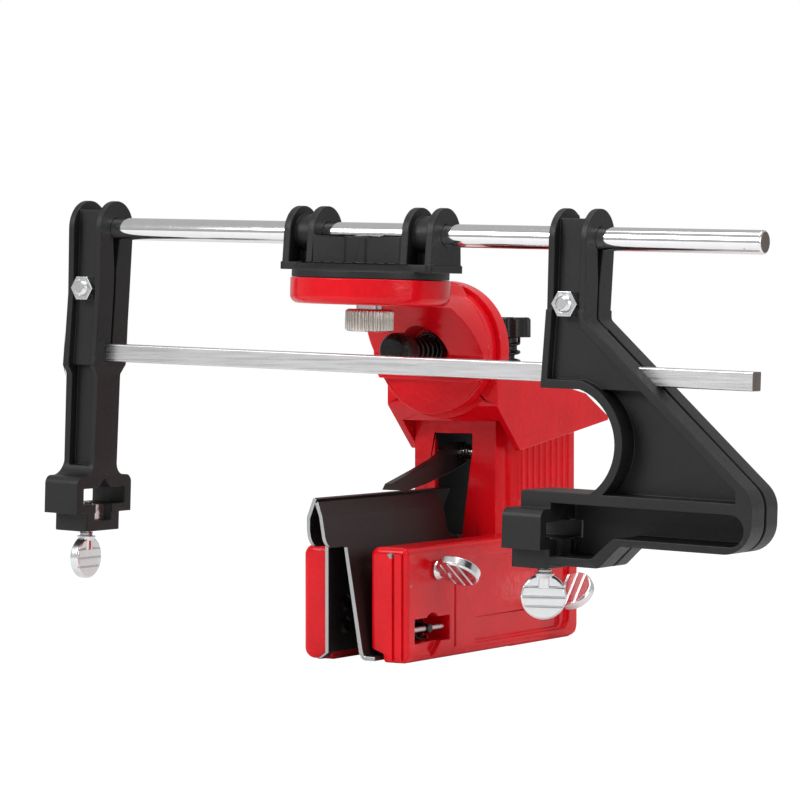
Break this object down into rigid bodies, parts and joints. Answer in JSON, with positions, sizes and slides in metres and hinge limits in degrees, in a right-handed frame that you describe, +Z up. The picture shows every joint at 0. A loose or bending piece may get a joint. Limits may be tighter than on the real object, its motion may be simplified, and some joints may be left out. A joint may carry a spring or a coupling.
{
  "type": "chainsaw file guide",
  "caption": "Bar-mount chainsaw file guide: red clamp with a tilting, swivelling head that carries a guide rod and a black-armed file frame.",
  "frame": {"origin": "on the face that seats the saw bar, at the front of the jaws, level with the jaw bottoms", "axes": "+X out of the bar seat and along the guide rod, +Y back along the saw bar, +Z up"},
  "size_m": [0.2821, 0.1626, 0.1625],
  "materials": {
    "red_paint": "gloss",
    "black_nylon": "satin",
    "black_oxide": "satin",
    "chromed_steel": "polished",
    "drawn_steel": "brushed",
    "zinc": "bright",
    "nickel": "satin"
  },
  "bodies": {
    "clamp": {"clamp_body": "red_paint", "fixed_plate": "black_oxide", "plate_rivets": "black_oxide", "pawl_pin": "drawn_steel", "plate_return_spring": "black_oxide"},
    "moving_plate": {"moving_plate": "black_oxide", "plate_stud": "black_oxide", "plate_stud_pin": "drawn_steel"},
    "front_clamp_shank": {"front_clamp_shank": "zinc"},
    "front_clamp_wing": {"front_clamp_wing": "zinc"},
    "rear_clamp_shank": {"rear_clamp_shank": "zinc"},
    "rear_clamp_wing": {"rear_clamp_wing": "zinc"},
    "pawl": {"pawl": "black_oxide", "pawl_spring": "black_oxide"},
    "elevator": {"elevator_head": "red_paint", "tilt_bolt": "black_oxide", "tilt_cup": "black_nylon", "tilt_spring": "black_oxide"},
    "height_screw": {"height_screw": "black_oxide", "height_knob": "black_nylon", "height_spring": "black_oxide"},
    "tilt_knob": {"tilt_knob": "black_nylon"},
    "tilt_head": {"tilt_head": "red_paint"},
    "swivel_table": {"swivel_table": "black_nylon", "swivel_stud": "zinc", "swivel_washer": "zinc"},
    "swivel_nut": {"swivel_nut": "nickel"},
    "guide_rod": {"guide_rod": "chromed_steel"},
    "file_frame": {"square_bar": "drawn_steel"},
    "left_arm": {"left_arm": "black_nylon", "left_arm_bolt": "zinc", "left_arm_nut": "zinc", "left_file_nut": "zinc"},
    "right_arm": {"right_arm": "black_nylon", "right_arm_bolt": "zinc", "right_arm_nut": "zinc", "right_file_nut": "zinc"},
    "left_file_shank": {"left_file_shank": "zinc"},
    "left_file_wing": {"left_file_wing": "zinc"},
    "right_file_shank": {"right_file_shank": "zinc"},
    "right_file_wing": {"right_file_wing": "zinc"}
  },
  "joints": [
    {"name": "plate_lean", "type": "hinge", "parent": "clamp", "child": "moving_plate", "pos_m": [0.0144, 0, 0.0034], "axis": [0, 1, 0], "range_deg": [-1.1, 7.1]},
    {"name": "front_clamp_travel", "type": "slide", "parent": "clamp", "child": "front_clamp_shank", "axis": [1, 0, 0], "range_m": [-0.00049, 0.00341]},
    {"name": "front_clamp_turn", "type": "hinge", "parent": "front_clamp_shank", "child": "front_clamp_wing", "pos_m": [0.0294, 0.0204, 0.0313], "axis": [1, 0, 0], "range_deg": [-177, 1229]},
    {"name": "rear_clamp_travel", "type": "slide", "parent": "clamp", "child": "rear_clamp_shank", "axis": [1, 0, 0], "range_m": [-0.001, 0.00195]},
    {"name": "rear_clamp_turn", "type": "hinge", "parent": "rear_clamp_shank", "child": "rear_clamp_wing", "pos_m": [0.0294, 0.1043, 0.0184], "axis": [1, 0, 0], "range_deg": [-97, 662]},
    {"name": "pawl_lift", "type": "hinge", "parent": "clamp", "child": "pawl", "pos_m": [0.0027, 0.079, 0.07], "axis": [1, 0, 0], "range_deg": [-20, 0], "stiffness_Nm_per_rad": 0.03, "springref_deg": 20.05},
    {"name": "elevator_travel", "type": "slide", "parent": "clamp", "child": "elevator", "axis": [0, 0, 1], "range_m": [-0.003, 0.006], "deforming": ["height_spring"]},
    {"name": "height_turn", "type": "hinge", "parent": "clamp", "child": "height_screw", "pos_m": [0.008, 0.107, 0.112], "axis": [0, 0, 1], "range_deg": [-2162, 1082]},
    {"name": "head_tilt", "type": "hinge", "parent": "elevator", "child": "tilt_head", "pos_m": [0.0075, 0.054, 0.1077], "axis": [0, 1, 0], "range_deg": [-21.8, 18.2]},
    {"name": "tilt_knob_turn", "type": "hinge", "parent": "elevator", "child": "tilt_knob", "pos_m": [0.0075, 0.0255, 0.1077], "axis": [0, -1, 0], "range_deg": [0, 360]},
    {"name": "head_swivel", "type": "hinge", "parent": "tilt_head", "child": "swivel_table", "pos_m": [0.00878, 0.0104, 0.14848], "axis": [0.0314, 0, 0.9995], "range_deg": [-35, 35]},
    {"name": "swivel_nut_turn", "type": "hinge", "parent": "swivel_table", "child": "swivel_nut", "pos_m": [0.00801, 0.0104, 0.12389], "axis": [-0.0314, 0, -0.9995], "range_deg": [0, 360]},
    {"name": "rod_slide", "type": "slide", "parent": "swivel_table", "child": "guide_rod", "axis": [0.9995, 0, -0.0314], "range_m": [-0.008, 0.05]},
    {"name": "frame_swing", "type": "hinge", "parent": "guide_rod", "child": "file_frame", "pos_m": [0.00878, 0.0104, 0.14848], "axis": [0.9995, 0, -0.0314], "range_deg": [-120, 5]},
    {"name": "left_arm_slide", "type": "slide", "parent": "file_frame", "child": "left_arm", "axis": [-0.9995, 0, 0.0314], "range_m": [-0.05, 0]},
    {"name": "right_arm_slide", "type": "slide", "parent": "file_frame", "child": "right_arm", "axis": [0.9995, 0, -0.0314], "range_m": [-0.008, 0.05]},
    {"name": "left_file_travel", "type": "slide", "parent": "left_arm", "child": "left_file_shank", "axis": [-0.0314, 0, -0.9995], "range_m": [0, 0.006]},
    {"name": "left_file_turn", "type": "hinge", "parent": "left_file_shank", "child": "left_file_wing", "pos_m": [-0.11555, 0.0104, 0.04123], "axis": [-0.0314, 0, -0.9995], "range_deg": [0, 2160]},
    {"name": "right_file_travel", "type": "slide", "parent": "right_arm", "child": "right_file_shank", "axis": [-0.0314, 0, -0.9995], "range_m": [0, 0.006]},
    {"name": "right_file_turn", "type": "hinge", "parent": "right_file_shank", "child": "right_file_wing", "pos_m": [0.07776, 0.0104, 0.03516], "axis": [-0.0314, 0, -0.9995], "range_deg": [0, 2160]}
  ],
  "couplings": [
    {"joint": "front_clamp_turn", "follows": "front_clamp_travel", "rad_per_m": 6283.2},
    {"joint": "plate_lean", "follows": "front_clamp_travel", "rad_per_m": 35.842},
    {"joint": "rear_clamp_travel", "follows": "front_clamp_travel", "ratio": 0.53763},
    {"joint": "rear_clamp_turn", "follows": "front_clamp_travel", "rad_per_m": 3378.1},
    {"joint": "height_turn", "follows": "elevator_travel", "rad_per_m": -6283.2},
    {"joint": "left_file_travel", "follows": "left_file_turn", "m_per_rad": 0.00015915},
    {"joint": "right_file_travel", "follows": "right_file_turn", "m_per_rad": 0.00015915}
  ]
}
